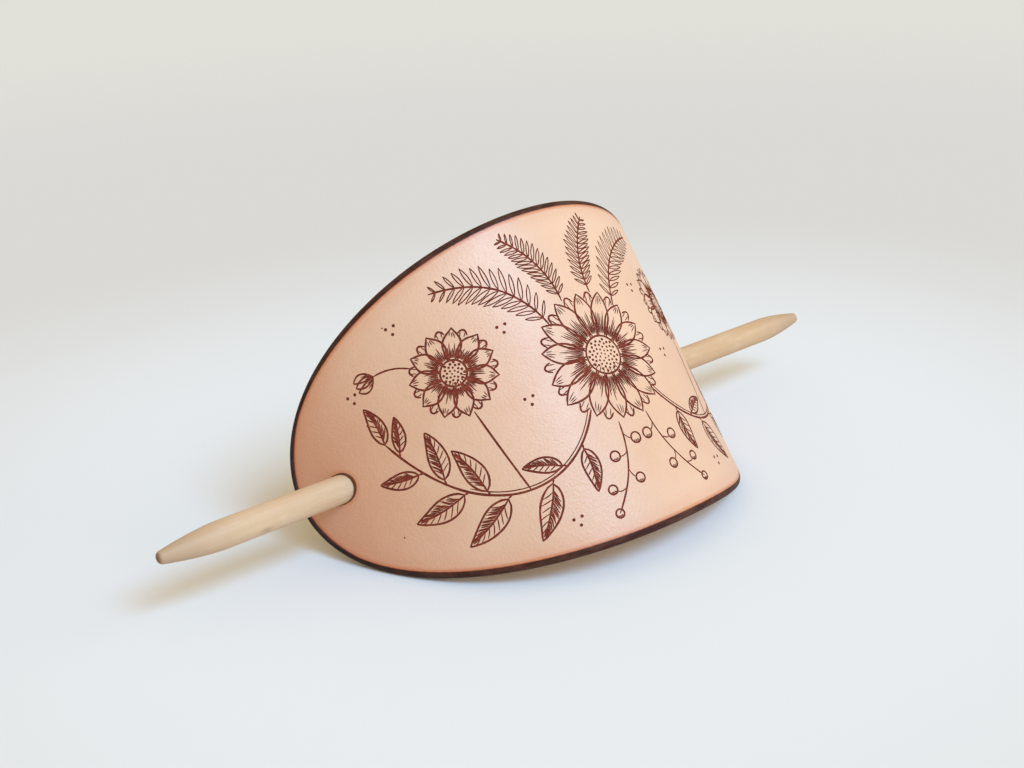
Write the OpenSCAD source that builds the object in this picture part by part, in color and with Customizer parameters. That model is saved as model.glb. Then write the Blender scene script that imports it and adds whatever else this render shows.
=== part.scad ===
// Hair slide: an oval of thick leather bent to a bow, with a wooden stick that runs through
// a hole near each end. The hair is held between the stick and the hollow side of the leather.
// Millimetres. The slide stands on its lower long edge, leaning back, with the stick along X
// and the round side of the bow towards -Y. The origin is the middle of its base.

/* [Leather panel] */
// Length of the oval while it is flat
panel_length = 124; // [112:1:132]
// Width of the oval
panel_width = 60; // [54:1:64]
// Thickness of the leather
leather_thickness = 2.2; // [1.6:0.1:3]

/* [Bend] */
// Radius of the bend across the middle, to the middle of the leather's thickness
middle_bend_radius = 38.5; // [36:0.5:44]
// Length along the leather that has the middle bend
middle_bend_length = 58; // [44:1:66]
// Radius of the flatter bend from there out to each end
end_bend_radius = 64; // [54:1:90]
// Angle that the panel leans back by when it stands on its own
lean_angle = 36; // [32:0.5:41]

/* [Holes] */
// Distance along the leather from each end of the oval to its hole
hole_inset = 10.3; // [9:0.1:13]
// How far the holes lie below the middle line of the oval
hole_drop = 1.2; // [0:0.1:3]
// Diameter of each hole, measured across the stick
hole_diameter = 5.9; // [5.7:0.1:6.5]

/* [Stick] */
// Diameter of the stick
stick_diameter = 5; // [4:0.1:5.2]
// Length of the stick from the left hole to its left tip
left_end_length = 35.7; // [28:0.1:45]
// Length of the stick from the right hole to its right tip
right_end_length = 41.1; // [28:0.1:45]
// Length of the taper at each end
taper_length = 11.5; // [8:0.5:16]
// Diameter at the blunt tip
tip_diameter = 2.3; // [1.6:0.1:3]
// Length of the rounding on the blunt tip
tip_rounding = 0.8; // [0.4:0.1:1.2]
// How full the taper is, where 1 is a straight cone
taper_fullness = 1.6; // [1:0.1:2.4]

/* [Hidden] */

leather_colour = "#E2B190";
wood_colour = "#DCC09B";

// Points round the oval, and steps over the half-round rim
outline_steps = 120;
rim_steps = 6;
// Steps along the stick's taper and round its blunt tip
taper_steps = 8;
tip_steps = 3;
round_steps = 72;
full_turn = 360;

half_length = panel_length / 2;
half_width = panel_width / 2;
half_thickness = leather_thickness / 2;
middle_half = middle_bend_length / 2;
stick_radius = stick_diameter / 2;

function degrees(radians) = radians * 180 / PI;

middle_turn = degrees(middle_half / middle_bend_radius);

// Angle that the leather has turned through at length s from the middle of the panel
function turn(s) =
    abs(s) < middle_half
    ? degrees(s / middle_bend_radius)
    : sign(s) * (middle_turn + degrees((abs(s) - middle_half) / end_bend_radius));

// Place on the bow, seen from above, at length s: an arc, then a flatter one that carries on from it
function bow(s) =
    abs(s) < middle_half
    ? middle_bend_radius * [sin(turn(s)), 1 - cos(turn(s))]
    : middle_bend_radius * [sign(s) * sin(middle_turn), 1 - cos(middle_turn)]
        + end_bend_radius * [
            sin(turn(s)) - sign(s) * sin(middle_turn),
            cos(middle_turn) - cos(turn(s))
        ];

// Point of the bent leather, from its length and height on the flat oval and its depth
// in the thickness, counted towards the round side
function bent(s, height, depth) = [
    bow(s).x + depth * sin(turn(s)),
    bow(s).y - depth * cos(turn(s)),
    height
];

// Point of the flat oval's outline at an angle, drawn in by an inset along its own normal
function outline(angle, inset) =
    let (
        normal = [half_width * cos(angle), half_length * sin(angle)],
        edge = [half_length * cos(angle), half_width * sin(angle)]
    )
    edge - inset * normal / norm(normal);

// Points round the oval for one step over the rim, from the hollow side at 0 to the round side
function rim_ring(step) =
    let (
        roll = 180 * step / rim_steps - 90,
        inset = half_thickness * (1 - cos(roll))
    )
    [
        for (i = [0 : outline_steps - 1])
            let (flat = outline(full_turn * i / outline_steps, inset))
            bent(flat.x, flat.y, half_thickness * sin(roll))
    ];

panel_points = [for (step = [0 : rim_steps]) each rim_ring(step)];

function rim_index(step, i) = step * outline_steps + (i + outline_steps) % outline_steps;

// One face of the leather: each strip joins two neighbouring points of the upper edge
// with the two straight below them
function face_strips(step) = [
    for (i = [0 : outline_steps / 2 - 1])
        [
            rim_index(step, i),
            rim_index(step, i + 1),
            if (i + 1 < outline_steps / 2) rim_index(step, -i - 1),
            if (i > 0) rim_index(step, -i)
        ]
];

function reversed(list) = [for (i = [len(list) - 1 : -1 : 0]) list[i]];

rim_faces = [
    for (step = [0 : rim_steps - 1], i = [0 : outline_steps - 1])
        each [
            [rim_index(step, i), rim_index(step, i + 1), rim_index(step + 1, i + 1)],
            [rim_index(step, i), rim_index(step + 1, i + 1), rim_index(step + 1, i)]
        ]
];

hollow_side = [for (strip = face_strips(0)) reversed(strip)];
round_side = face_strips(rim_steps);

// Where the holes and the stick are, before the panel is leaned back
hole_length = half_length - hole_inset;
hole_x = bow(hole_length).x;
stick_y = bow(hole_length).y;
stick_left = -hole_x - left_end_length;
stick_right = hole_x + right_end_length;
stick_length = stick_right - stick_left;

// Depth and height of a point once the panel leans back
function leaned(p) = [
    p.y * cos(lean_angle) + p.z * sin(lean_angle),
    p.z * cos(lean_angle) - p.y * sin(lean_angle)
];

leaned_points = [for (p = panel_points) leaned(p)];
depths = [for (p = leaned_points) p[0]];
base_height = min([for (p = leaned_points) p[1]]);
base_middle = [(stick_left + stick_right) / 2, (min(depths) + max(depths)) / 2];

// Stands the slide on the table, with the middle of its base at the origin
module standing() {
    translate([-base_middle.x, -base_middle.y, -base_height])
        rotate([-lean_angle, 0, 0])
            children();
}

// The line of the stick, from its left tip towards +X
module along_stick(from) {
    translate([from, stick_y, -hole_drop])
        rotate([0, 90, 0])
            children();
}

// Radius of the stick at a distance from its tip: a rounded nose, then a slightly full taper
function stick_profile(along) =
    along < tip_rounding
    ? tip_diameter / 2 * sqrt(1 - pow(1 - along / tip_rounding, 2))
    : let (to_go = 1 - (along - tip_rounding) / (taper_length - tip_rounding))
        stick_radius - (stick_radius - tip_diameter / 2) * pow(to_go, taper_fullness);

end_stations = [
    for (i = [0 : tip_steps - 1]) tip_rounding * (1 - cos(90 * i / tip_steps)),
    for (i = [0 : taper_steps]) tip_rounding + (taper_length - tip_rounding) * i / taper_steps
];

stick_outline = concat(
    [for (along = end_stations) [stick_profile(along), along]],
    [for (along = reversed(end_stations)) [stick_profile(along), stick_length - along]]
);

module leather_panel() {
    color(leather_colour)
        standing()
            difference() {
                polyhedron(
                    points = panel_points,
                    faces = concat(hollow_side, rim_faces, round_side),
                    convexity = 4
                );
                along_stick(-half_length)
                    cylinder(d = hole_diameter, h = panel_length, $fn = round_steps);
            }
}

module hair_stick() {
    color(wood_colour)
        standing()
            along_stick(stick_left)
                rotate_extrude($fn = round_steps)
                    polygon(stick_outline);
}

leather_panel();
hair_stick();
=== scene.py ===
"""A leather barrette with a burnt ornament and a wooden stick, on a plain pale floor.

The leather is drawn flat, with the ornament and the holes cut into it, and is then bent round
and leaned back as it stands. Lengths are metres, but the ornament and the finishes count in
millimetres.
"""

import math
import random

import bpy
import numpy as np
from mathutils import Matrix, Vector
from mathutils.geometry import delaunay_2d_cdt


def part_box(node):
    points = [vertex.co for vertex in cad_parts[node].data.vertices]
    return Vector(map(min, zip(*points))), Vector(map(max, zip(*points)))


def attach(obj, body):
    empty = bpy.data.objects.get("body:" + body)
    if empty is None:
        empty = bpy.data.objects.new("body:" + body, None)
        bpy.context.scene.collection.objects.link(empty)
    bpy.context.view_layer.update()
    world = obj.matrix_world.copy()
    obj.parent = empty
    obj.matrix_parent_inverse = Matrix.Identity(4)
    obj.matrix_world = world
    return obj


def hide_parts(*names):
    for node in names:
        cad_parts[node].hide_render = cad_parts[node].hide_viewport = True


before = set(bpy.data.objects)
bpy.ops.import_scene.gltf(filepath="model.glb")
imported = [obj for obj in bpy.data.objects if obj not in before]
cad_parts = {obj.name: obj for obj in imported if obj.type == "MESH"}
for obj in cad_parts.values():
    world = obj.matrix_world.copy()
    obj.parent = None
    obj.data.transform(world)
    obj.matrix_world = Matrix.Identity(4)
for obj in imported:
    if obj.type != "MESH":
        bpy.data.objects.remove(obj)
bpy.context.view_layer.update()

bl_info = {
    "name": "Leather Barrette",
    "version": (1, 0, 0),
    "blender": (4, 5, 0),
    "location": "View3D > Sidebar > Barrette",
    "description": "Builds a bent leather barrette with a burnt ornament and its wooden stick",
    "category": "Add Mesh",
}

STICK_LOW, STICK_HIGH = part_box("hair_stick")
MM = 0.001


def tone(red, green, blue):
    """A colour as Blender counts it, from the values from 0 to 255 that a screen shows."""
    shares = [value / 255 for value in (red, green, blue)]
    return tuple(s / 12.92 if s <= 0.04045 else ((s + 0.055) / 1.055) ** 2.4 for s in shares)


def size_setting(name, description, default):
    """A length that can be changed in the sidebar."""
    texts = {"name": name, "description": description, "subtype": "DISTANCE", "unit": "LENGTH"}
    return bpy.props.FloatProperty(**texts, default=default, min=0.0, precision=5)


def colour_setting(name, description, default):
    """A colour that can be changed in the sidebar."""
    return bpy.props.FloatVectorProperty(
        name=name, description=description, default=default, size=3, min=0.0, max=1.0, subtype="COLOR"
    )


class LeatherSettings(bpy.types.PropertyGroup):
    """Sizes and colours of the leather"""

    length: size_setting("Length", "Length of the oval while it is flat", 0.124)
    width: size_setting("Width", "Width of the oval", 0.060)
    thickness: size_setting("Thickness", "Thickness of the leather", 0.0022)
    middle_radius: size_setting("Middle bend", "Radius of the bend across the middle", 0.0385)
    middle_length: size_setting("Middle length", "Length that has the middle bend", 0.058)
    end_radius: size_setting("End bend", "Radius of the flatter bend out to each end", 0.064)
    lean: bpy.props.FloatProperty(
        name="Lean", description="Angle that the leather leans back by", default=math.radians(36),
        subtype="ANGLE", unit="ROTATION",
    )
    hole_inset: size_setting("Hole inset", "Length from each end of the oval to its hole", 0.0103)
    hole_drop: size_setting("Hole drop", "How far the holes lie below the middle line", 0.0012)
    hole_diameter: size_setting("Hole", "Diameter of each hole, across the stick", 0.0051)
    rim: size_setting("Rim", "Width of the burnished rim", 0.0011)
    depth: size_setting("Line depth", "Depth of the burnt lines", 0.00012)
    seed: bpy.props.IntProperty(name="Seed", description="Start of the hand's small slips", default=7)
    face_colour: colour_setting("Face", "Colour of the smooth side", tone(220, 179, 149))
    flesh_colour: colour_setting("Hollow side", "Colour of the rough side", tone(202, 167, 137))
    rim_colour: colour_setting("Rim", "Colour of the burnished rim", tone(54, 26, 17))
    line_colour: colour_setting("Lines", "Colour of the burnt lines", tone(112, 45, 31))


class StickSettings(bpy.types.PropertyGroup):
    """Sizes and colours of the stick"""

    taper: size_setting("Taper", "Length of the taper at each end", 0.0115)
    tip_diameter: size_setting("Tip", "Diameter of the blunt tip", 0.0023)
    tip_rounding: size_setting("Tip rounding", "Length of the rounding on the tip", 0.0008)
    groove: size_setting("Grain", "Depth of the grain in the wood", 0.000018)
    wood_colour: colour_setting("Wood", "Colour of the wood", tone(209, 176, 139))
    # This colour also lies over the stick's right part as painted shade
    streak_and_shade_colour: colour_setting("Streaks", "Colour of the grain lines", tone(188, 146, 100))
    tip_colour: colour_setting("Tips", "Colour that handling gave the tips", tone(112, 74, 50))


class StageSettings(bpy.types.PropertyGroup):
    """The floor and the light"""

    floor_colour: colour_setting("Floor", "Colour of the floor", tone(224, 226, 227))
    sky_colour: colour_setting("Sky colour", "Colour of the light all round", (1.03, 0.82, 0.49))
    sky_power: bpy.props.FloatProperty(
        name="Sky strength", description="Strength of that light", default=0.708, min=0.0
    )


# Points round the oval's edge and round each hole, rings over the rounded rim and down each mouth
# of a hole, how square the rim's rounding is, and the radius of the rounding on a hole's mouth
OUTLINE_POINTS = 480
HOLE_POINTS = 64
RIM_RINGS = 15
MOUTH_RINGS = 5
RIM_SQUARENESS = 2.4
HOLE_ROUNDING = 0.0001
# Spacing of the points that let the flat faces bend, along and across the leather
GRID_ALONG = 0.001
GRID_ACROSS = 0.002
# Where the hand-cut oval is a little fuller than a true one: angle, spread and width
FULLER_ANGLE = math.radians(-64)
FULLER_SPREAD = math.radians(14)
FULLER_WIDTH = 0.0014
# In millimetres: points nearer than this are one, and a burnt triangle of less area is left out
CLOSEST = 1e-4
SMALLEST = 1e-5
# A hole is longer along the flat leather than across it, because the stick runs through aslant
HOLE_STRETCH = 1.118
# The finishes of the leather's faces, and the attribute that says where a point is on its piece
FACE, LINES, FLESH, RIM = range(4)
PLACE = "place"
# Colours that the finishes mix with the ones in the settings
# Painted shade towards both ends of the leather's face
PAINTED_END_SHADE = tone(198, 138, 104)
# Painted light that pales the top of the leather's face, and painted shade that darkens it low down
PAINTED_LIGHT_FACE = tone(233, 198, 169)
PAINTED_SHADE_FACE = tone(196, 160, 135)
DEEP_FACE = tone(210, 163, 128)
ROSE_FACE = tone(218, 175, 154)
PORE_COLOUR = tone(201, 152, 119)
HALO_COLOUR = tone(192, 108, 60)
RIM_LINE_COLOUR = tone(124, 54, 34)
RIM_PALE = tone(84, 50, 38)
# Painted shade on the rim towards both ends
RIM_END_SHADE = tone(34, 17, 14)
HOLE_COLOUR = tone(100, 50, 26)
LINE_PALE = tone(140, 66, 46)
LINE_DARK = tone(86, 32, 22)
FLESH_DEEP = tone(178, 130, 98)
FLESH_PALE = tone(224, 186, 156)
PORE_WOOD = tone(154, 108, 70)
WOOD_PALE = tone(216, 193, 163)
WOOD_ROSE = tone(203, 164, 131)
# Greyer, darker tone of the tapers: partly wear, partly painted shade
WORN_AND_SHADED_WOOD = tone(179, 149, 118)
SMUDGE_COLOUR = tone(152, 117, 94)
# Width of the fine pebbles in the grain side, in millimetres
PEBBLE = 0.42
# Middle of the faint smudge on the stick, in millimetres along it and up from its own line
SMUDGE = (-59.8, -0.9)
# How strongly each finish's fine relief shows, and a number that keeps a division from zero
BUMP_STRENGTH = 0.6
NEARLY_NONE = 0.0001
# Colours of the floor a little way from the object and far from it
MIDDLE_FLOOR = tone(210, 207, 203)
FAR_FLOOR = tone(216, 213, 206)
# The stick: rings over each blunt tip, each taper and the body, points round it, the angle at
# which a tip's rounding starts, and how full the taper is, where 1 is a straight cone
NOSE_RINGS = 7
TAPER_RINGS = 26
BODY_RINGS = 130
STICK_SIDES = 96
NOSE_START = 0.12
TAPER_FULLNESS = 1.6
# The grain in the stick: waves in one turn round it, and how fast it drifts along it
STICK_SEED = 4
GRAIN_WAVES = (7, 11, 17, 23, 31, 43)
DRIFT_RATES = (90, 37)
# Edges that turn by more than this are shaded as sharp
SHARP_ANGLE = math.radians(40)
# The camera: where it stands, the way that it looks, how far it leans over sideways, its lens and
# sensor in millimetres, and the nearest and farthest that it sees
CAMERA_PLACE = (-0.16187, -0.17251, 0.11728)
CAMERA_WAY = (0.599, 0.7111, -0.3681)
CAMERA_ROLL = math.radians(-2.4)
LENS_LENGTH = 50
SENSOR_WIDTH = 36
SIGHT = (0.01, 40)
# Width of the floor, and points along each side of it
FLOOR_SIZE = 30.0
FLOOR_STEPS = 9
# Each light: its name, its direction from the object, width in degrees, colour and strength
LIGHTS = (
    ("key_light", (0.1, -0.66, 0.75), 25.0, (0.318, 0.626, 1.0), 2.311),
    ("front_light", (-0.2, -0.7, 0.68), 45.0, (0.72, 0.74, 1.0), 0.749),
    ("side_light", (0.8, -0.5, 0.35), 42.9, (1.0, 0.942, 0.799), 0.686),
)
# Colour of the backdrop low down, as the far floor, and the heights of the change to the sky's
HORIZON = (1.06, 1.05, 0.98)
HORIZON_TOP = 0.04
SKY_FOOT = 0.22

# The burnt ornament is drawn in millimetres on the flat leather
LINE_WIDTH = 0.36
HATCH_WIDTH = 0.21
# Share by which the width of a burnt line slips along it
WIDTH_SLIP = 0.12
GOLDEN_TURN = math.pi * (3 - math.sqrt(5))
# The stem of the spray on the +X side: where it starts, two points that bend it, and its end
SPRAY_STEM = ((7.0, -7.0), (16.0, -20.5), (32.0, -17.5), (41.0, 2.0))
# Each leaf of a spray: its place along the stem, its side of it, and its length
LEAVES = (
    (5, -1, 7.5), (9, 1, 6.6), (12, -1, 9.5), (19, -1, 10.0), (22, 1, 9.0),
    (25, -1, 9.5), (28, 1, 8.5), (31, -1, 7.0), (34, 1, 6.0),
)
# Where groups of three dots fill the ground between the motifs
DOT_GROUPS = ((15.2, 11.5), (16.0, -1.5), (32.0, 19.0), (43.0, 11.5), (17.0, -23.0))
# Small natural marks on the leather: length along it, height and radius
MARKS = (
    (-42.5, 6.2, 0.19), (-44.6, -13.4, 0.16), (-33.2, 19.9, 0.14),
    (29.0, -22.3, 0.15), (47.5, 4.1, 0.17),
)


def polar(radius, angle):
    """The point at a distance and an angle, in radians, from the middle."""
    return radius * np.array([math.cos(angle), math.sin(angle)])


def sweep(*controls, steps=12):
    """Points along the Bezier curve that the control points give."""
    t = np.linspace(0.0, 1.0, steps + 1)[:, None]
    levels = [np.asarray(point, float)[None, :] for point in controls]
    while len(levels) > 1:
        levels = [a * (1 - t) + b * t for a, b in zip(levels, levels[1:])]
    return levels[0]


def sideways(path):
    """Unit vectors to the left of a path at each of its points."""
    along = np.gradient(path, axis=0)
    along /= np.maximum(np.linalg.norm(along, axis=1, keepdims=True), 1e-9)
    return np.stack([-along[:, 1], along[:, 0]], axis=1)


class Engraving:
    """Burnt lines on the flat leather, in millimetres, each a chain of four-sided faces."""

    def __init__(self, seed):
        self.chance = random.Random(seed)
        self.side = 1
        self.points = []
        self.faces = []

    def vary(self, amount):
        """A small random number, up to the amount either way."""
        return self.chance.uniform(-amount, amount)

    def add_face(self, points):
        """Adds one burnt face, mirrored to the side that is being drawn."""
        first = len(self.points)
        self.points.extend((self.side * x, y) for x, y in points)
        self.faces.append(list(range(first, first + len(points))))

    def line(self, path, width=LINE_WIDTH, ends=0.5, wobble=0.04):
        """Burns one line along a path. It narrows to a share of its width at both ends."""
        path = np.array(path, float)
        count = len(path)
        slow = [self.vary(wobble) for _ in range(2 + count // 4)]
        shake = np.interp(np.linspace(0, len(slow) - 1, count), np.arange(len(slow)), slow)
        across = sideways(path)
        path = path + across * shake[:, None]
        from_end = np.minimum(np.arange(count), np.arange(count)[::-1])
        half = width / 2 * np.where(from_end == 0, ends, 1.0)
        half = half * np.array([1 + self.vary(WIDTH_SLIP) for _ in range(count)])
        out = across * half[:, None]
        first = len(self.points)
        for x, y in np.stack([path + out, path - out], axis=1).reshape(-1, 2):
            self.points.append((self.side * x, y))
        for a in range(first, len(self.points) - 2, 2):
            self.faces.append([a, a + 1, a + 3, a + 2])

    def tick(self, centre, angle, near, far):
        """Burns a short fine line outwards from a centre, between two distances from it."""
        ends = [centre + polar(reach, angle) for reach in (near, far)]
        self.line(sweep(*ends, steps=2), HATCH_WIDTH)

    def dot(self, centre, radius, sides=8):
        """Burns a round dot."""
        turn = self.vary(math.pi)
        spots = [polar(radius, turn + i * math.tau / sides) for i in range(sides)]
        self.add_face([centre + spot for spot in spots])

    def ring(self, centre, radius, width=LINE_WIDTH, sides=14):
        """Burns a circle, whose end runs on over its start."""
        turns = [i % sides * math.tau / sides for i in range(sides + 2)]
        self.line([centre + polar(radius, turn) for turn in turns], width, ends=1.0, wobble=0.0)


def engrave_petal(pen, base, angle, length, half_width):
    """A petal with a rounded tip, and fine lines from its base and its tip."""
    axis = polar(1.0, angle)
    across = polar(1.0, angle + math.pi / 2)
    lean = pen.vary(0.05) * length
    t = np.linspace(0.0, 1.0, 11)
    swell = half_width * np.sin(np.pi * t**1.15 * 0.86 + 0.2) ** 0.75

    def spots(k, share):
        """Points along the petal, at a share of its half width."""
        middle = base + np.outer(k * length, axis) + np.outer(lean * k**2, across)
        return middle + np.outer(share * np.interp(k, t, swell), across)

    tip = spots(t, 0.0)[-1] + axis * half_width * 0.42
    pen.line(np.vstack([spots(t, 1.0), tip, spots(t, -1.0)[::-1]]), ends=0.8, wobble=0.03)
    for share in np.linspace(-0.7, 0.7, 8):
        reach = pen.chance.uniform(0.34, 0.7) * (1 - 0.35 * abs(share))
        pen.line(spots(np.linspace(0.05, reach, 5), share), HATCH_WIDTH, ends=0.4)
    for share in (-0.35, 0.08, 0.42):
        reach = pen.chance.uniform(0.76, 0.86)
        pen.line(spots(np.linspace(1.0, reach, 3), share), HATCH_WIDTH, ends=0.4)


def engrave_flower(pen, centre, radius, petals, turn=0.0):
    """A daisy: a ring of petals, the tips of a second ring behind it and a dotted middle."""
    middle = radius * 0.3
    half_width = math.pi * radius * 0.74 / petals
    for i in range(petals):
        angle = turn + math.tau * i / petals
        stretch = 1 + pen.vary(0.05)
        base = centre + polar(middle * 1.04, angle)
        length = (radius - middle) * 0.9 * stretch
        engrave_petal(pen, base, angle + pen.vary(0.03), length, half_width)
        behind = angle + math.pi / petals
        fan = [behind + side * 0.42 * math.pi / petals for side in (-1.0, -0.5, 0.0, 0.5, 1.0)]
        reach = [0.9, 1.0, 1.04, 1.0, 0.9]
        tip = [centre + polar(radius * r, a) for r, a in zip(reach, fan)]
        pen.line(sweep(*tip, steps=6), ends=0.6)
        for share in (-0.2, 0.2):
            pen.tick(centre, behind + share * math.pi / petals, radius * 0.84, radius * 0.95)
    pen.ring(centre, middle, sides=28)
    seeds = int(30 * (middle / 3) ** 2) + 12
    for i in range(seeds):
        spread = math.sqrt((i + 0.5) / seeds)
        spot = centre + polar(middle * 0.86 * spread, i * GOLDEN_TURN)
        pen.dot(spot, 0.16 + 0.12 * spread, sides=6)
    for i in range(9):
        angle = math.radians(200 + 14 * i)
        pen.tick(centre, angle, middle * pen.chance.uniform(0.62, 0.8), middle * 0.98)


def engrave_leaf(pen, base, tip, half_width, bend=0.0, dark=1):
    """A pointed leaf: outline, midrib, side veins and close hatching on its dark half."""
    along = tip - base
    length = np.linalg.norm(along)
    knee = (base + tip) / 2 + np.array([-along[1], along[0]]) * bend
    rib = sweep(base, knee, tip, steps=14)
    across = sideways(rib)
    t = np.linspace(0.0, 1.0, len(rib))
    swell = half_width * np.sin(np.pi * t**0.82) ** 0.85 * (1.06 - 0.3 * t)
    for side in (-1, 1):
        pen.line(rib + across * (side * swell)[:, None], ends=0.7)
    pen.line(rib[:-1], LINE_WIDTH * 0.9, ends=0.6)
    veins = max(5, round(length / 1.5))
    for side in (-1, 1):
        close = 4 if side == dark else 1
        for i in range(veins * close):
            start = 0.08 + 0.74 * (i + 0.5) / (veins * close)
            main = i % close == close // 2
            reach = pen.chance.uniform(0.72, 0.92) if main else pen.chance.uniform(0.5, 0.97)
            k = start + np.array([0.0, 0.05, 0.1, 0.14]) * (0.75 + reach / 3)
            out = np.array([0.0, 0.36, 0.7, 1.0]) * reach * side
            at, way = (np.stack([np.interp(k, t, row) for row in rows.T], axis=1) for rows in (rib, across))
            at = at + way * (out * np.interp(k, t, swell))[:, None]
            pen.line(at, HATCH_WIDTH, wobble=0.03)


def engrave_fern(pen, root, knee, tip, width):
    """A fern frond: a curved rib with pairs of thin leaflets that shorten towards its tip."""
    pairs = 15
    rib = sweep(root, knee, tip, steps=4 * pairs)
    across = sideways(rib)
    along = np.stack([across[:, 1], -across[:, 0]], axis=1)
    pen.line(rib[::3], ends=0.6)
    for i in range(pairs - 1):
        k = 4 * i + 5
        share = i / (pairs - 1)
        size = width * math.sin(math.pi * (0.2 + 0.78 * share)) ** 0.8 + 0.5
        for side in (-1, 1):
            way = across[k] * side * 0.8 + along[k] * 0.62
            end = rib[k] + way * size * (1 + pen.vary(0.07))
            puff = np.array([-way[1], way[0]]) * 0.16 * size
            middle = (rib[k] + end) / 2
            for edge in (-1, 1):
                pen.line(sweep(rib[k], middle + edge * puff, end, steps=5), HATCH_WIDTH, ends=0.7)


def engrave_berries(pen, root, knee, tip, count):
    """A thin stem with round berries on short stalks, each shaded on its lower side."""
    stem = sweep(root, knee, tip, steps=3 * count)
    across = sideways(stem)
    pen.line(stem, LINE_WIDTH * 0.85)
    for i in range(count):
        k = 3 * i + 3
        side = 1 if i % 2 else -1
        radius = 0.95 - 0.25 * i / count
        spot = stem[k]
        if i < count - 1:
            spot = spot + across[k] * side * 2.3
            edge = spot - across[k] * side * radius
            pen.line(sweep(stem[k - 1], (stem[k] + edge) / 2, edge, steps=4), HATCH_WIDTH)
        pen.ring(spot, radius, LINE_WIDTH * 0.9)
        for j in range(4):
            angle = math.radians(235 + 26 * j)
            pen.tick(spot, angle, radius * (0.35 + 0.1 * (j % 2)), radius * 0.9)


def engrave_bud(pen, root, knee, tip, size):
    """A closed bud on a thin stem, with three petals in a small cup of leaves."""
    pen.line(sweep(root, knee, tip, steps=8), LINE_WIDTH * 0.9)
    way = np.subtract(tip, knee)
    way /= np.linalg.norm(way)
    across = np.array([-way[1], way[0]])
    for lean in (-0.5, 0.5, 0.0):
        end = tip + way * size + across * lean * size * 0.5
        for edge in (-1, 1):
            bulge = (tip + end) / 2 + across * (lean * 0.55 + edge * 0.42) * size
            pen.line(sweep(tip, bulge, end, steps=7), LINE_WIDTH * 0.9, ends=0.7)
    for share in np.linspace(-0.5, 0.5, 7):
        start = tip + way * size * 0.1 + across * share * size * 0.4
        end = start + way * size * pen.chance.uniform(0.25, 0.45) + across * share * size * 0.25
        pen.line(sweep(start, end, steps=2), HATCH_WIDTH)


def engrave_side(pen):
    """The sprays on one side of the middle flower, drawn for the +X side."""
    stem = sweep(*SPRAY_STEM, steps=36)
    pen.line(stem, LINE_WIDTH * 1.15)
    pen.line((stem + sideways(stem) * 0.55)[:26], HATCH_WIDTH)
    for number, (k, side, length) in enumerate(LEAVES):
        across = sideways(stem)[k] * side
        along = np.array([across[1], -across[0]]) * side
        way = along * 0.72 + across * 0.7
        start = stem[k] + way * 0.9
        pen.line(sweep(stem[k], start, steps=2))
        dark = 1 if number % 2 else -1
        engrave_leaf(pen, start, start + way * length, length * 0.21, bend=0.1 * side, dark=dark)
    engrave_leaf(pen, stem[-1], stem[-1] + (1.0, 7.0), 1.5, bend=0.12)
    pen.line(sweep(stem[16], (23.5, -8.0), (25.0, 0.5), steps=10))
    engrave_flower(pen, (25.5, 7.8), 7.4, 11, turn=0.2)
    engrave_fern(pen, (7.2, 8.6), (11.0, 20.5), (24.0, 21.6), 3.9)
    engrave_fern(pen, (3.2, 12.2), (3.2, 20.0), (9.6, 26.0), 3.0)
    engrave_bud(pen, (31.6, 11.6), (35.0, 13.6), (38.0, 13.2), 3.6)
    engrave_berries(pen, (3.2, -10.6), (3.6, -18.5), (10.2, -24.8), 5)
    for centre in DOT_GROUPS:
        for i in range(3):
            pen.dot(centre + polar(0.85, i * math.tau / 3 + 0.5), 0.3)


def engrave_ornament(seed):
    """The whole burnt ornament: a large flower in the middle, with the same sprays either side."""
    pen = Engraving(seed)
    engrave_flower(pen, (0.0, 1.0), 11.6, 15, turn=math.pi / 2)
    for side in (-1, 1):
        pen.side = side
        engrave_side(pen)
    for *spot, radius in MARKS:
        pen.dot(spot, radius, sides=7)
    return pen


def middle_turn(leather):
    """Angle through which the leather turns from its middle to where the flatter bend starts."""
    return leather.middle_length / 2 / leather.middle_radius


def turned(leather, along):
    """Angle that the leather has turned through at each length along it, in radians."""
    middle = leather.middle_length / 2
    inner = np.minimum(np.abs(along), middle) / leather.middle_radius
    outer = np.maximum(np.abs(along) - middle, 0.0) / leather.end_radius
    return np.sign(along) * (inner + outer)


def bow(leather, along):
    """Places on the bow, seen from above: an arc, then a flatter one that carries on from it."""
    angle = turned(leather, along)
    limit = middle_turn(leather)
    inner = np.clip(angle, -limit, limit)
    across = leather.middle_radius * np.sin(inner)
    across += leather.end_radius * (np.sin(angle) - np.sin(inner))
    back = leather.middle_radius * (1 - np.cos(inner))
    back += leather.end_radius * (np.cos(inner) - np.cos(angle))
    return across, back


def lean_back(leather, points):
    """Leans upright points back by the angle at which the leather stands."""
    x, y, z = np.asarray(points, float).T
    c, s = math.cos(leather.lean), math.sin(leather.lean)
    return np.stack([x, y * c + z * s, z * c - y * s], axis=1)


def bend(leather, flat):
    """Bends flat points, given as length, height and depth, and puts them where they stand."""
    along, height, depth = flat.T
    angle = turned(leather, along)
    across, back = bow(leather, along)
    upright = np.stack([across + depth * np.sin(angle), back - depth * np.cos(angle), height], axis=1)
    return lean_back(leather, upright) + standing_place(leather)


def standing_place(leather):
    """Where the middle of the flat oval goes, so that the holes lie on the stick's own line."""
    low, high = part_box("leather_panel")
    _, back = bow(leather, hole_place(leather))
    line = lean_back(leather, [[0.0, float(back), -leather.hole_drop]])[0]
    stick = (STICK_LOW + STICK_HIGH) / 2
    return np.array([(low.x + high.x) / 2, stick.y - line[1], stick.z - line[2]])


def hole_place(leather):
    """Length along the leather from its middle to each hole."""
    return leather.length / 2 - leather.hole_inset


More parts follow.
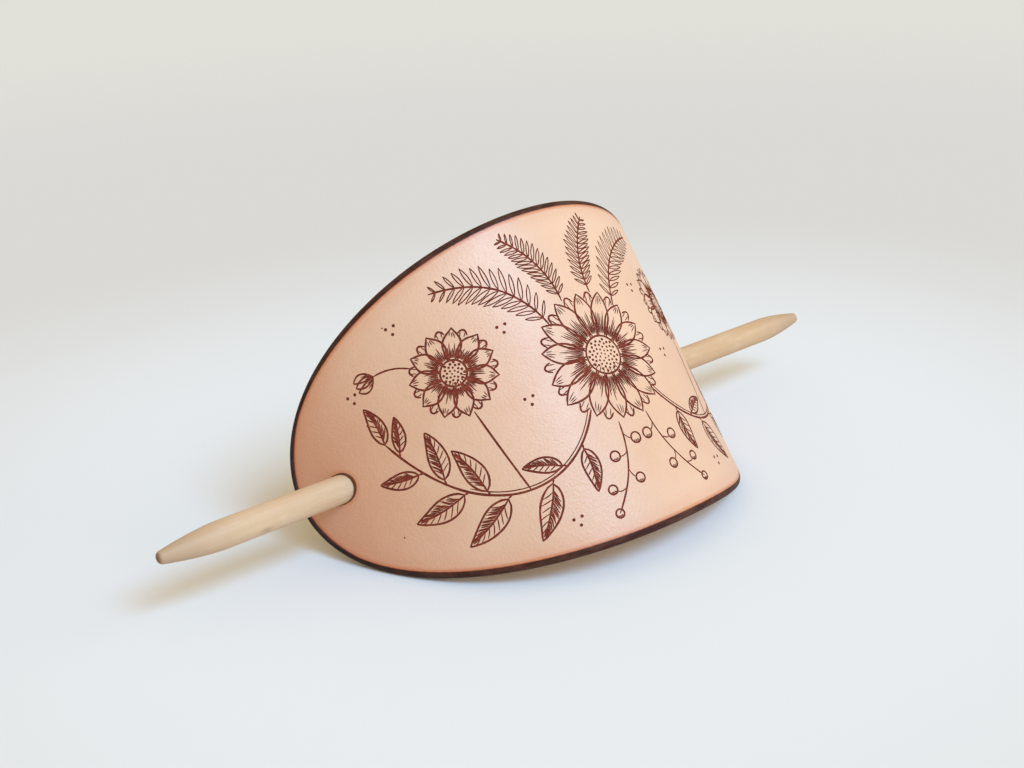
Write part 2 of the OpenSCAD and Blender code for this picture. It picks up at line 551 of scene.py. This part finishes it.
def outline_ring(leather, inset, depth):
    """The oval drawn in by an inset along its own normal, as flat points at one depth."""
    angle = np.linspace(0.0, math.tau, OUTLINE_POINTS, endpoint=False)
    a, b = leather.length / 2, leather.width / 2
    normal = np.stack([b * np.cos(angle), a * np.sin(angle)], axis=1)
    normal /= np.linalg.norm(normal, axis=1, keepdims=True)
    turn = np.mod(angle - FULLER_ANGLE + math.pi, math.tau) - math.pi
    out = FULLER_WIDTH * np.exp(-((turn / FULLER_SPREAD) ** 2)) - inset
    edge = np.stack([a * np.cos(angle), b * np.sin(angle)], axis=1) + out[:, None] * normal
    return np.column_stack([edge, np.full(OUTLINE_POINTS, depth)])


def hole_ring(leather, side, radius, depth):
    """Where a round bore along the stick meets the leather at one depth, as flat points."""
    angle = np.linspace(0.0, math.tau, HOLE_POINTS, endpoint=False)
    _, stick_back = bow(leather, hole_place(leather))
    back = stick_back - radius * np.cos(angle)
    limit = middle_turn(leather)
    arc_back = leather.middle_radius * (1 - math.cos(limit)) + leather.end_radius * math.cos(limit)
    turn = np.arccos((arc_back - back) / (leather.end_radius + depth))
    along = leather.middle_length / 2 + (turn - limit) * leather.end_radius
    height = -side * radius * np.sin(angle) - leather.hole_drop
    return np.column_stack([side * along, height, np.full(HOLE_POINTS, depth)])


class FlatLeather:
    """The leather while it is flat: its points, and its faces with the number of a finish."""

    def __init__(self):
        self.points = []
        self.faces = []
        self.finishes = []

    def add_points(self, rows):
        """Adds points and returns their numbers."""
        first = len(self.points)
        self.points.extend(map(tuple, rows))
        return list(range(first, len(self.points)))

    def add_face(self, corners, finish):
        """Adds one face."""
        self.faces.append(corners)
        self.finishes.append(finish)

    def wall(self, rings, inward=False):
        """Joins closed rings of points by bands of faces. Returns the first ring and the last."""
        rings = [self.add_points(ring) for ring in rings]
        for ring, following in zip(rings, rings[1:]):
            for i in range(len(ring)):
                j = (i + 1) % len(ring)
                band = [ring[i], following[i], following[j], ring[j]]
                self.add_face(band[::-1] if inward else band, RIM)
        return rings[0], rings[-1]


def spread_points(leather, holes):
    """Points of an even grid that lie inside the outline and clear of the holes."""
    a, b = leather.length / 2 - leather.rim, leather.width / 2 - leather.rim
    along = np.arange(-a, a, GRID_ALONG)
    height = np.arange(-b, b, GRID_ACROSS)
    grid = np.stack(np.meshgrid(along, height), axis=-1).reshape(-1, 2)
    kept = (grid[:, 0] / (a - GRID_ALONG)) ** 2 + (grid[:, 1] / (b - GRID_ALONG)) ** 2 < 1
    for ring in holes:
        middle = ring.mean(axis=0)
        reach = np.linalg.norm(ring - middle, axis=1).max() + GRID_ALONG / 2
        kept &= np.linalg.norm(grid - middle, axis=1) > reach
    return grid[kept]


def signed_area(corners):
    """Area of a flat polygon, positive if its corners run anticlockwise."""
    x, y = np.asarray(corners, float).T
    return 0.5 * float(np.dot(x, np.roll(y, -1)) - np.dot(y, np.roll(x, -1)))


def cover(leather, cut, rings, depth, burnt=None):
    """Fills one side of the leather between its outline and its holes, and sinks the burnt lines."""
    flat = [np.array([cut.points[i][:2] for i in ring]) for ring in rings]
    corners, faces, numbers = [], [], []
    for ring, spots in zip(rings, flat):
        first = len(corners)
        corners.extend(spots / MM)
        numbers.extend(ring)
        faces.append(list(range(first, first + len(ring))))
    corners.extend(spread_points(leather, flat[1:]) / MM)
    if burnt:
        first = len(corners)
        corners.extend(burnt.points)
        for face in burnt.faces:
            for k in range(1, len(face) - 1):
                part = [first + i for i in (face[0], face[k], face[k + 1])]
                area = signed_area([corners[i] for i in part])
                if abs(area) > SMALLEST:
                    faces.append(part if area > 0 else part[::-1])
    spots, _, triangles, came_from, _, inside = delaunay_2d_cdt(
        [Vector(corner) for corner in corners], [], faces, 1, CLOSEST, True
    )
    levels = {False: {}, True: {}}
    for i, sources in enumerate(came_from):
        for k in sources:
            if k < len(numbers):
                levels[False].setdefault(i, numbers[k])

    def number(i, sunk):
        """The number of a point at its plain or its sunk level."""
        level = levels[sunk]
        if i not in level:
            level_depth = depth - math.copysign(sunk * leather.depth, depth)
            level[i] = cut.add_points([(spots[i].x * MM, spots[i].y * MM, level_depth)])[0]
        return level[i]

    sunk_edges, plain_edges = set(), set()
    for triangle, sources in zip(triangles, inside):
        if any(source in range(1, len(rings)) for source in sources):
            continue
        sunk = any(source >= len(rings) for source in sources)
        if signed_area([spots[i] for i in triangle]) < 0:
            triangle = triangle[::-1]
        face = [number(i, sunk) for i in triangle]
        finish = LINES if sunk else FACE if depth > 0 else FLESH
        cut.add_face(face if depth > 0 else face[::-1], finish)
        edges = sunk_edges if sunk else plain_edges
        edges.update((triangle[k - 1], triangle[k]) for k in range(len(triangle)))
    for a, b in sorted(sunk_edges):
        if (b, a) in plain_edges:
            cut.add_face([number(a, False), number(b, False), number(b, True), number(a, True)], LINES)


def rim_steps(leather):
    """Inset and depth of each ring over the rounded rim, from the smooth side to the hollow side."""
    half = leather.thickness / 2
    for roll in np.linspace(math.pi / 2, -math.pi / 2, RIM_RINGS):
        side, out = math.sin(roll), abs(math.cos(roll)) ** (2 / RIM_SQUARENESS)
        yield leather.rim * (1 - out), math.copysign(half * abs(side) ** (2 / RIM_SQUARENESS), side)


def bore_steps(leather):
    """Radius and depth of each ring down a hole, whose mouths are slightly rounded."""
    half, radius = leather.thickness / 2, leather.hole_diameter / 2
    for side in (1, -1):
        for roll in np.linspace(0.0, math.pi / 2, MOUTH_RINGS)[::side]:
            depth = half - HOLE_ROUNDING * (1 - math.cos(roll))
            yield radius + HOLE_ROUNDING * (1 - math.sin(roll)), side * depth


def cut_leather(leather):
    """The flat leather: its rim, its two holes, its smooth side with the ornament and its hollow side."""
    cut = FlatLeather()
    walls = [cut.wall([outline_ring(leather, *step) for step in rim_steps(leather)])]
    for side in (-1, 1):
        bores = [hole_ring(leather, side, *step) for step in bore_steps(leather)]
        walls.append(cut.wall(bores, inward=True))
    smooth, hollow = zip(*walls)
    cover(leather, cut, smooth, leather.thickness / 2, engrave_ornament(leather.seed))
    cover(leather, cut, hollow, -leather.thickness / 2)
    return cut


def either_way(operation):
    """An operator for a value on its left, and its reflected form for a value on its right."""

    def left(value, other):
        return value.finish.math(operation, value, other)

    def right(value, other):
        return value.finish.math(operation, other, value)

    return left, right


class Value:
    """A number that varies over a surface: a socket with arithmetic, each step of it a Math node."""

    def __init__(self, finish, socket):
        self.finish = finish
        self.socket = socket

    __add__, __radd__ = either_way("ADD")
    __sub__, __rsub__ = either_way("SUBTRACT")
    __mul__, __rmul__ = either_way("MULTIPLY")
    __truediv__, __rtruediv__ = either_way("DIVIDE")
    __pow__, __rpow__ = either_way("POWER")

    def __abs__(self):
        return self.finish.math("ABSOLUTE", self)


class Finish:
    """A material or a world while it is made: its nodes, and the shader that they feed."""

    def __init__(self, owner, shader="Principled BSDF"):
        self.owner = owner
        owner.use_nodes = True
        self.tree = owner.node_tree
        self.shader = self.tree.nodes[shader]

    def node(self, kind, settings=None, inputs=None, output=0):
        """Adds a node: first its settings, then the values or links of its sockets."""
        made = self.tree.nodes.new("ShaderNode" + kind)
        for name, value in (settings or {}).items():
            setattr(made, name, value)
        for name, value in (inputs or {}).items():
            self.feed(made.inputs[name], value)
        return Value(self, made.outputs[output])

    def feed(self, socket, value):
        """Links a value to a socket, or sets the socket to a plain number, vector or colour."""
        if isinstance(value, Value):
            self.tree.links.new(value.socket, socket)
        else:
            socket.default_value = value

    def math(self, operation, *values):
        """One Math node."""
        return self.node("Math", {"operation": operation}, dict(enumerate(values)))

    def mix(self, share, *colours):
        """Mixes two colours by a share from 0, the first, to 1, the second."""
        settings = {"data_type": "RGBA", "clamp_factor": True}
        first, second = (c if isinstance(c, Value) else (*c, 1.0) for c in colours)
        return self.node("Mix", settings, {0: share, 6: first, 7: second}, output=2)

    def layers(self, colour, *layers):
        """Lays colours over one. Each shows by a share where a value steps from low to high."""
        for value, low, high, share, over in layers:
            colour = self.mix(self.step(value, low, high) * share, colour, over)
        return colour

    def stretch(self, vector, scale):
        """Scales a vector by three numbers."""
        return self.node("VectorMath", {"operation": "MULTIPLY"}, {0: vector, 1: scale})

    def place(self):
        """The point's place on the piece, in millimetres: the vector and its three numbers."""
        vector = self.node("Attribute", {"attribute_name": PLACE}, output=1)
        parts = self.node("SeparateXYZ", inputs={0: vector}).socket.node.outputs
        return vector, *(Value(self, part) for part in parts)

    def noise(self, vector, size, detail=2.0, rough=0.5, bend=0.0):
        """Cloudy noise from 0 to 1, about 0.5 on average, whose patches have a size in millimetres."""
        inputs = {"Vector": vector, "Scale": 1 / size, "Detail": detail}
        return self.node("TexNoise", inputs={**inputs, "Roughness": rough, "Distortion": bend})

    def step(self, value, low, high):
        """A smooth step from 0 at one value to 1 at another, either way round."""
        inputs = {"Value": value, "From Min": min(low, high), "From Max": max(low, high)}
        inputs.update({"To Min": float(low > high), "To Max": float(high > low)})
        return self.node("MapRange", {"interpolation_type": "SMOOTHSTEP"}, inputs)

    def set(self, name, value):
        """Sets or links one of the shader's own sockets."""
        self.feed(self.shader.inputs[name], value)

    def surface(self, colour, roughness, shine=0.5, relief=None, deep=0.0):
        """Feeds the shader, with a fine relief from 0 to 1 that is so many metres deep."""
        self.set("Base Color", colour)
        self.set("Roughness", roughness)
        self.set("Specular IOR Level", shine)
        if relief:
            inputs = {"Height": relief, "Distance": deep, "Strength": BUMP_STRENGTH}
            self.set("Normal", self.node("Bump", inputs=inputs))
        return self.owner


class LeatherFinish(Finish):
    """A finish of the leather, which knows where each point lies on it."""

    def __init__(self, name, leather):
        super().__init__(bpy.data.materials.new(name))
        self.leather = leather
        self.spot, self.along, self.height, _ = self.place()

    def from_edges(self):
        """Millimetres in from the edge of the oval, and from the edge of the nearest hole."""
        leather, along, height = self.leather, self.along, self.height
        a, b = leather.length / 2 / MM, leather.width / 2 / MM
        across, up = along / (a * a), height / (b * b)
        steepness = (across * across + up * up) ** 0.5 + NEARLY_NONE
        turn = (self.math("ARCTAN2", height / b, along / a) - FULLER_ANGLE) / FULLER_SPREAD
        fuller = self.math("EXPONENT", turn * turn * -1) * (FULLER_WIDTH / MM)
        rim = (1 - along * across - height * up) / (2 * steepness) + fuller
        from_hole = (abs(along) - hole_place(leather) / MM) / HOLE_STRETCH
        above_hole = height + leather.hole_drop / MM
        hole = (from_hole * from_hole + above_hole * above_hole) ** 0.5
        return rim, hole - leather.hole_diameter / 2 / MM

    def rim_colour(self):
        """The burnished rim's dark brown, with paler streaks along it, and painted shade that makes it
        darkest at both ends.
        """
        streaks = self.noise(self.stretch(self.spot, (0.35, 0.35, 2.6)), 1.1, 4.0, 0.62)
        colour = self.mix(self.step(streaks, 0.34, 0.72), self.leather.rim_colour, RIM_PALE)
        # Painted shade: the rim darkest towards both ends.
        return self.layers(colour, (abs(self.along), 34.0, 56.0, 0.6, RIM_END_SHADE))

    def burnish(self, plain, rim, burnt_hole):
        """Lays a hole's burnt edge and the dark rim over a plain colour. Returns it and the rim's mask."""
        width = self.leather.rim / MM
        wander = self.noise(self.spot, 0.9, 3.0) * 0.16 - 0.08
        edge = rim + wander - self.step(abs(self.along), 53.0, 60.0) * 0.4
        halo = self.step(edge, width + 0.9, width + 0.05) * 0.7
        halo = halo + self.step(edge, width + 4.5, width) * 0.18
        toned = self.mix(halo, self.mix(burnt_hole, plain, HOLE_COLOUR), HALO_COLOUR)
        toned = self.mix(self.step(edge, width + 0.2, width + 0.04), toned, RIM_LINE_COLOUR)
        mask = self.step(edge, width + 0.05, width - 0.1)
        return self.mix(mask, toned, self.rim_colour()), mask


def burnished_rim(leather):
    """The rounded rim and the walls of the holes: dark, rubbed smooth and only faintly shiny."""
    finish = LeatherFinish("burnished_rim", leather)
    _, hole = finish.from_edges()
    uneven = finish.noise(finish.spot, 0.6, 4.0, 0.7)
    wall = finish.step(hole, 2.0, 1.0)
    colour = finish.mix(wall, finish.rim_colour(), HOLE_COLOUR)
    return finish.surface(colour, 0.5 + uneven * 0.16, 0.17, uneven, 0.00008)


def smooth_leather(leather):
    """The grain side: pale undyed leather with a soft wax shine, fine pores and a burnished rim, made paler
    towards the top by painted light and darker towards the bottom and both ends by painted shade.
    """
    finish = LeatherFinish("smooth_leather", leather)
    place, along, height = finish.spot, finish.along, finish.height
    rim, hole = finish.from_edges()
    cloud = finish.noise(place, 17.0, 3.0, 0.55, 0.4)
    blotch = finish.noise(place, 3.4, 4.0, 0.6)
    pores = finish.noise(place, 0.42, 3.0, 0.6)
    toward_end = finish.step(abs(along), 26.0, 50.0)
    colour = finish.layers(
        leather.face_colour,
        (cloud, 0.36, 0.68, 0.5, DEEP_FACE),
        (blotch, 0.42, 0.75, 0.24, ROSE_FACE),
        (pores, 0.5, 0.78, 0.24 + toward_end * 0.2, PORE_COLOUR),
        # Painted light: paler towards the top. Painted shade: darker towards the bottom.
        (height, -2.0, 26.0, 0.3, PAINTED_LIGHT_FACE),
        (height, 2.0, -24.0, 0.2, PAINTED_SHADE_FACE),
        # Painted shade: darker and more orange towards both ends.
        (abs(along), 30.0, 56.0, 0.75, PAINTED_END_SHADE),
        (hole, 0.9, 0.1, 0.45, HALO_COLOUR),
    )
    burnt_hole = finish.step(hole + blotch * 0.05, 0.16, 0.08)
    colour, mask = finish.burnish(colour, rim, burnt_hole)
    rough = 0.33 + blotch * 0.08 + pores * 0.06 + mask * 0.2 + burnt_hole * 0.3
    pebbles = finish.node("TexVoronoi", {"feature": "SMOOTH_F1"}, {"Vector": place, "Scale": 1 / PEBBLE})
    grain = pebbles * 0.5 + pores * 0.4 + finish.noise(place, 1.3, 2.0) * 0.22 + blotch * 0.22
    grain = grain * (1 + toward_end * 0.7) + mask * finish.noise(place, 0.6, 4.0, 0.7)
    return finish.surface(colour, rough, relief=grain, deep=0.00015)


def burnt_leather(leather):
    """The engraved lines: charred leather, dark brown and dull, unevenly burnt."""
    finish = LeatherFinish("burnt_lines", leather)
    uneven = finish.noise(finish.spot, 0.7, 4.0, 0.65)
    patches = finish.noise(finish.spot, 5.0, 2.0)
    colour = finish.mix(finish.step(uneven, 0.35, 0.7), leather.line_colour, LINE_PALE)
    colour = finish.layers(colour, (patches, 0.4, 0.7, 0.4, LINE_DARK))
    return finish.surface(colour, 0.72 + uneven * 0.15, 0.15, uneven, 0.00005)


def flesh_leather(leather):
    """The hollow side: rough and matt, with short fibres, darker towards the rim and the holes."""
    finish = LeatherFinish("flesh_leather", leather)
    place = finish.spot
    rim, hole = finish.from_edges()
    fibres = finish.noise(finish.stretch(place, (1.0, 2.6, 1.0)), 0.8, 5.0, 0.72, 0.8)
    nap = finish.noise(place, 0.22, 3.0, 0.7)
    cloud = finish.noise(place, 9.0, 4.0, 0.6, 0.5)
    colour = finish.layers(
        leather.flesh_colour,
        (cloud, 0.35, 0.7, 0.6, FLESH_DEEP),
        (fibres, 0.45, 0.75, 0.4, FLESH_PALE),
        (nap, 0.5, 0.8, 0.22, FLESH_DEEP),
    )
    burnt_hole = finish.step(hole + cloud * 0.06, 0.15, 0.05)
    colour, mask = finish.burnish(colour, rim, burnt_hole)
    return finish.surface(colour, 0.9 - mask * 0.3, relief=fibres * 0.6 + nap * 0.4, deep=0.0002)


def birch_wood(stick):
    """Bare sanded birch: faint grain along the stick, thin pores, tips that handling darkened, tapers
    greyer and darker from wear and painted shade, and painted light and shade that make it paler to the
    left and darker to the right.
    """
    finish = Finish(bpy.data.materials.new("birch_wood"))
    place, along, across, up = finish.place()
    bands = finish.noise(finish.stretch(place, (0.045, 1.0, 1.0)), 1.5, 3.0, 0.55, 0.6)
    fibres = finish.noise(finish.stretch(place, (0.03, 1.0, 1.0)), 0.3, 4.0, 0.65)
    pores = finish.noise(finish.stretch(place, (0.09, 1.0, 1.0)), 0.16, 2.0)
    cloud = finish.noise(place, 8.0, 3.0)
    patches = finish.noise(finish.stretch(place, (0.4, 1.0, 1.0)), 2.6, 3.0, 0.6)
    to_tip = (STICK_HIGH.x - STICK_LOW.x) / 2 / MM - abs(along)
    colour = finish.layers(
        stick.wood_colour,
        (bands, 0.36, 0.68, 0.42, stick.streak_and_shade_colour),
        (fibres, 0.45, 0.75, 0.28, stick.streak_and_shade_colour),
        (pores, 0.66, 0.74, 0.3, PORE_WOOD),
        (cloud, 0.42, 0.7, 0.4, WOOD_ROSE),
        (patches, 0.5, 0.72, 0.4, WOOD_PALE),
        # Painted light makes the left part paler, and painted shade makes the right part darker.
        (along, -20.0, -45.0, 0.25, WOOD_PALE),
        (along, 10.0, 45.0, 0.2, stick.streak_and_shade_colour),
        # Partly wear and partly painted shade: the tapers greyer and darker.
        (to_tip + cloud * 5, stick.taper / MM + 8.5, 4.0, 0.95, WORN_AND_SHADED_WOOD),
    )
    tip = finish.step(to_tip + fibres * 0.5 + cloud * 0.4, 1.05, 0.45)
    colour = finish.mix(tip * 0.85, colour, stick.tip_colour)
    beside, above = along - SMUDGE[0], up - SMUDGE[1]
    smudge = (beside * beside * 0.3 + above * above) ** 0.5 + bands * 0.8
    smudge = finish.step(smudge, 1.15, 0.45) * finish.step(across, 0.0, -1.0) * 0.4
    colour = finish.mix(smudge, colour, SMUDGE_COLOUR)
    rough = 0.5 + fibres * 0.16 + tip * 0.12
    return finish.surface(colour, rough, relief=fibres * 0.6 + pores * 0.4, deep=0.00007)


def plain_floor(stage):
    """The floor: plain and pale, with painted light that keeps it palest near the object and a shade greyer
    a little way from it.
    """
    finish = Finish(bpy.data.materials.new("plain_floor"))
    place = finish.node("TexCoord", output="Object")
    far = finish.node("VectorMath", {"operation": "LENGTH"}, {0: place}, output="Value")
    soft = finish.noise(place, 0.4, 2.0)
    # Painted light: palest near the object, a shade greyer a little way off.
    near = finish.step(far + soft * 0.06, 0.1, 0.23)
    colour = finish.mix(near, stage.floor_colour, MIDDLE_FLOOR)
    colour = finish.mix(finish.step(far, 0.3, 0.7), colour, FAR_FLOOR)
    return finish.surface(colour, roughness=1.0, shine=0.0)


def add_object(name, data):
    """Makes an object and adds it to the scene."""
    made = bpy.data.objects.new(name, data)
    bpy.context.scene.collection.objects.link(made)
    return made


def add_piece(name, points, faces, finishes, materials, place):
    """Makes a mesh object from points in the frame. Each face takes one of the materials."""
    mesh = bpy.data.meshes.new(name)
    mesh.from_pydata(points, [], faces)
    for material in materials:
        mesh.materials.append(material)
    mesh.polygons.foreach_set("material_index", np.array(finishes, np.int32))
    mesh.shade_smooth()
    mesh.set_sharp_from_angle(angle=SHARP_ANGLE)
    spots = mesh.attributes.new(PLACE, "FLOAT_VECTOR", "POINT")
    spots.data.foreach_set("vector", (place / MM).astype(np.float32).ravel())
    mesh.validate()
    return add_object(name, mesh)


def build_leather(leather):
    """The bent leather, which stands for the CAD's leather panel."""
    cut = cut_leather(leather)
    flat = np.array(cut.points)
    finishes = (smooth_leather, burnt_leather, flesh_leather, burnished_rim)
    materials = [make(leather) for make in finishes]
    piece = add_piece("leather", bend(leather, flat), cut.faces, cut.finishes, materials, flat)
    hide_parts("leather_panel")
    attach(piece, "barrette")


def stick_radius(stick, from_tip):
    """Radius of the stick at a distance from its tip: a rounded nose, then a slightly full taper."""
    full, tip = (STICK_HIGH.z - STICK_LOW.z) / 2, stick.tip_diameter / 2
    if from_tip < stick.tip_rounding:
        return tip * math.sqrt(1 - (1 - from_tip / stick.tip_rounding) ** 2)
    to_go = 1 - (from_tip - stick.tip_rounding) / (stick.taper - stick.tip_rounding)
    return full - (full - tip) * max(to_go, 0.0) ** TAPER_FULLNESS


def grooves(chance, turns):
    """Depth of the grain round the stick at each turn, from -1 to 1, which runs on without a seam."""
    depth = np.zeros(len(turns))
    for waves in GRAIN_WAVES:
        depth += np.cos(waves * turns + chance.uniform(0, math.tau)) * chance.uniform(0.4, 1.0) / 3
    return depth


def build_stick(stick):
    """The stick, with fine grain along it, which stands for the CAD's stick."""
    chance = random.Random(STICK_SEED)
    middle = (STICK_LOW + STICK_HIGH) / 2
    half = (STICK_HIGH.x - STICK_LOW.x) / 2
    nose = stick.tip_rounding * (1 - np.cos(np.linspace(NOSE_START, math.pi / 2, NOSE_RINGS)))
    taper = np.linspace(stick.tip_rounding, stick.taper, TAPER_RINGS)[1:]
    end = np.concatenate([nose, taper])
    body = np.linspace(-half + stick.taper, half - stick.taper, BODY_RINGS)[1:-1]
    along = np.concatenate([end - half, body, half - end[::-1]])
    turns = np.linspace(0.0, math.tau, STICK_SIDES, endpoint=False)
    grain = grooves(chance, turns)
    drift = [chance.uniform(0.0, math.tau) for _ in DRIFT_RATES]
    points = []
    for x in along:
        radius = stick_radius(stick, half - abs(x))
        swell = sum(math.sin(x * rate + start) * 0.5 for rate, start in zip(DRIFT_RATES, drift))
        fade = min(1.0, radius / (stick.tip_diameter / 2)) ** 2
        ring = radius + stick.groove * fade * (np.roll(grain, round(2 * swell)) - 1)
        points.extend(zip(np.full(STICK_SIDES, x), ring * np.cos(turns), ring * np.sin(turns)))
    rings = np.arange(len(points)).reshape(-1, STICK_SIDES)
    faces = []
    for ring, following in zip(rings, rings[1:]):
        band = [ring, np.roll(ring, -1), np.roll(following, -1), following]
        faces.extend(np.stack(band, axis=1).tolist())
    faces += [rings[0][::-1].tolist(), rings[-1].tolist()]
    place = np.array(points)
    finishes = np.zeros(len(faces))
    piece = add_piece("stick", place + np.array(middle), faces, finishes, [birch_wood(stick)], place)
    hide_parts("hair_stick")
    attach(piece, "stick")


def aim(thing, place, way, roll=0.0):
    """Puts a camera or a light at a place, looking along a direction and rolled about it."""
    turn = Vector(way).to_track_quat("-Z", "Y").to_matrix().to_4x4()
    thing.matrix_world = Matrix.Translation(place) @ turn @ Matrix.Rotation(roll, 4, "Z")


def add_light(name, toward, width, colour, strength):
    """A round soft light, far away, that shines on the object from a direction."""
    light = bpy.data.lights.new(name, "SUN")
    light.angle = math.radians(width)
    light.color = colour
    light.energy = strength
    way = Vector(toward).normalized()
    aim(add_object(name, light), way, -way)


def build_floor(stage):
    """A large flat floor under the object."""
    mesh = bpy.data.meshes.new("floor")
    steps = np.linspace(-0.5, 0.5, FLOOR_STEPS) * FLOOR_SIZE
    points = [(x, y, 0.0) for y in steps for x in steps]
    faces = []
    for a in range(FLOOR_STEPS * (FLOOR_STEPS - 1)):
        if (a + 1) % FLOOR_STEPS:
            faces.append([a, a + 1, a + FLOOR_STEPS + 1, a + FLOOR_STEPS])
    mesh.from_pydata(points, [], faces)
    mesh.materials.append(plain_floor(stage))
    add_object("floor", mesh)


def build_camera():
    """The camera, at the photo's angle."""
    lens = bpy.data.cameras.new("camera")
    lens.lens = LENS_LENGTH
    lens.sensor_width = SENSOR_WIDTH
    lens.clip_start, lens.clip_end = SIGHT
    camera = add_object("camera", lens)
    aim(camera, CAMERA_PLACE, CAMERA_WAY, CAMERA_ROLL)
    bpy.context.scene.camera = camera


def build_sky(stage):
    """A pale light all round, which low down has the far floor's tone."""
    backdrop = Finish(bpy.data.worlds.new("soft_light"), "Background")
    way = backdrop.node("TexCoord", output="Generated")
    height = backdrop.node("SeparateXYZ", inputs={0: way}, output="Z")
    rise = backdrop.step(height, HORIZON_TOP, SKY_FOOT)
    backdrop.set("Color", backdrop.mix(rise, HORIZON, stage.sky_colour))
    backdrop.set("Strength", stage.sky_power)
    bpy.context.scene.world = backdrop.owner


def build_stage(stage):
    """The floor, the lights and the camera."""
    build_floor(stage)
    for light in LIGHTS:
        add_light(*light)
    build_sky(stage)
    build_camera()
    bpy.context.scene.view_settings.view_transform = "Standard"


class BARRETTE_OT_leather(bpy.types.Operator):
    """Builds the bent leather with its burnt ornament"""

    bl_idname = "barrette.leather"
    bl_label = "Leather"

    def execute(self, context):
        build_leather(context.scene.barrette_leather)
        return {"FINISHED"}


class BARRETTE_OT_stick(bpy.types.Operator):
    """Builds the wooden stick"""

    bl_idname = "barrette.stick"
    bl_label = "Stick"

    def execute(self, context):
        build_stick(context.scene.barrette_stick)
        return {"FINISHED"}


class BARRETTE_OT_stage(bpy.types.Operator):
    """Builds the floor, the lights and the camera"""

    bl_idname = "barrette.stage"
    bl_label = "Stage"

    def execute(self, context):
        build_stage(context.scene.barrette_stage)
        return {"FINISHED"}


class BARRETTE_PT_sidebar(bpy.types.Panel):
    """Sizes, colours and the steps that build the barrette"""

    bl_idname = "BARRETTE_PT_sidebar"
    bl_label = "Barrette"
    bl_space_type = "VIEW_3D"
    bl_region_type = "UI"
    bl_category = "Barrette"

    def draw(self, context):
        for name, operator in zip(SETTINGS, OPERATORS):
            box = self.layout.box()
            for setting in SETTINGS[name].__annotations__:
                box.prop(getattr(context.scene, name), setting)
            box.operator(operator.bl_idname)


# The settings, by the name that a scene keeps them under, and the operator that goes with each
SETTINGS = {
    "barrette_leather": LeatherSettings,
    "barrette_stick": StickSettings,
    "barrette_stage": StageSettings,
}
OPERATORS = (BARRETTE_OT_leather, BARRETTE_OT_stick, BARRETTE_OT_stage)
CLASSES = (*SETTINGS.values(), *OPERATORS, BARRETTE_PT_sidebar)


def register():
    """Adds the classes, and the settings to each scene."""
    for item in CLASSES:
        bpy.utils.register_class(item)
    for name, settings in SETTINGS.items():
        setattr(bpy.types.Scene, name, bpy.props.PointerProperty(type=settings))


def unregister():
    """Takes the settings and the classes away again."""
    for name in SETTINGS:
        delattr(bpy.types.Scene, name)
    for item in reversed(CLASSES):
        bpy.utils.unregister_class(item)


def main():
    """Builds everything."""
    register()
    bpy.ops.barrette.stage()
    bpy.ops.barrette.leather()
    bpy.ops.barrette.stick()
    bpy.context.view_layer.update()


if __name__ == "__main__":
    main()
